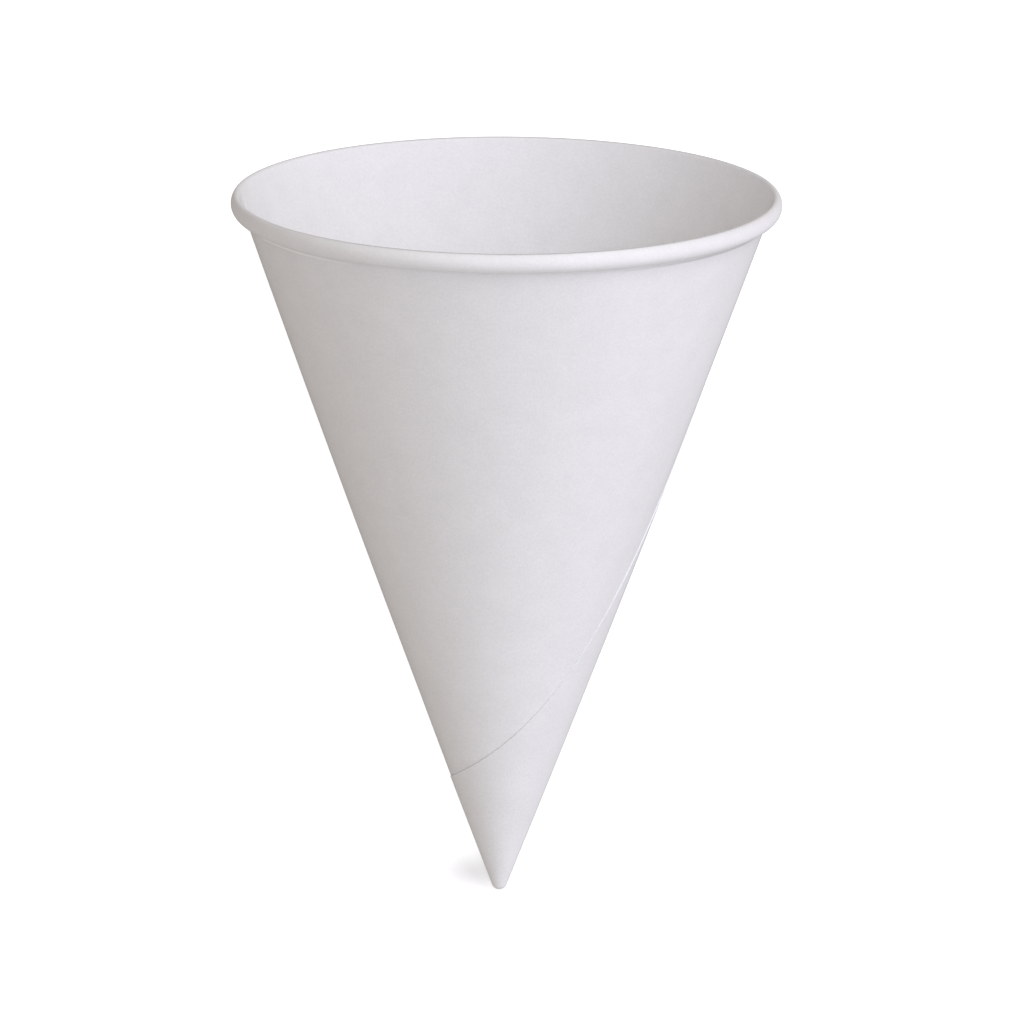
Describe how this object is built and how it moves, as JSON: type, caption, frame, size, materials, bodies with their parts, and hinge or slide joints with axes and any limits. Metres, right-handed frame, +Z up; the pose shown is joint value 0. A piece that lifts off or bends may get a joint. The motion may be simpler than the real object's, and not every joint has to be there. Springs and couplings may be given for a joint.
{
  "type": "cone paper cup",
  "caption": "Cone-shaped disposable paper cup, wound from one blank, with a closed pointed tip, a long lapped seam and an outward rolled rim; lies on its side.",
  "frame": {"origin": "centre of the bounding box's bottom, on the surface the cup lies on", "axes": "+Y runs level from the tip towards the mouth, +Z is up; the cup's own axis rises 20.75 degrees from +Y"},
  "size_m": [0.074, 0.1036, 0.0694],
  "materials": {
    "paper": "matte"
  },
  "bodies": {
    "root": {"cone_cup": "paper"}
  },
  "joints": []
}
